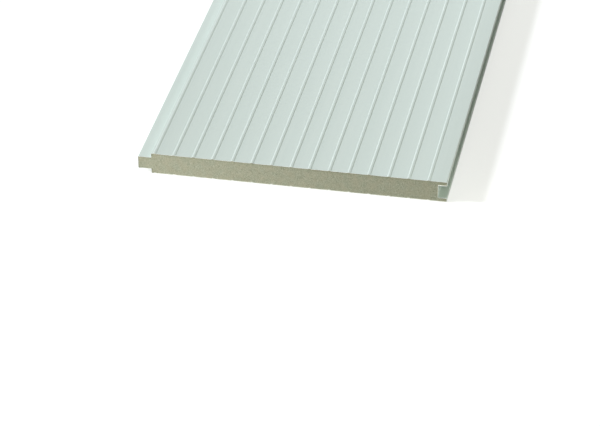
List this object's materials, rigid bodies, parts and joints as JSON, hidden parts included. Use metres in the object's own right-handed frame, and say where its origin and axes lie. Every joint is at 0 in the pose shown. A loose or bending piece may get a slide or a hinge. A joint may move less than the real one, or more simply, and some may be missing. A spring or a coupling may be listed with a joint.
{
  "type": "insulated sandwich panel",
  "caption": "Flat insulated wall panel with ribbed pale steel facings on a rigid foam core, a tongue along one long edge and a groove along the other.",
  "frame": {"origin": "centre of the underside, on the floor the panel lies on, halfway between nose and lip and halfway along its length", "axes": "+X across the panel from the tongue to the groove, +Y along the panel, +Z out of the outer facing"},
  "size_m": [1.0276, 2, 0.0766],
  "materials": {
    "outer_paint": "pale grey-green polyester coil coating, low gloss",
    "inner_paint": "pale grey-green polyester coil coating, low gloss",
    "foam": "sawn rigid polyurethane foam, fine cells"
  },
  "bodies": {
    "root": {"outer_facing": "outer_paint", "inner_facing": "inner_paint", "foam_core": "foam"}
  },
  "joints": []
}
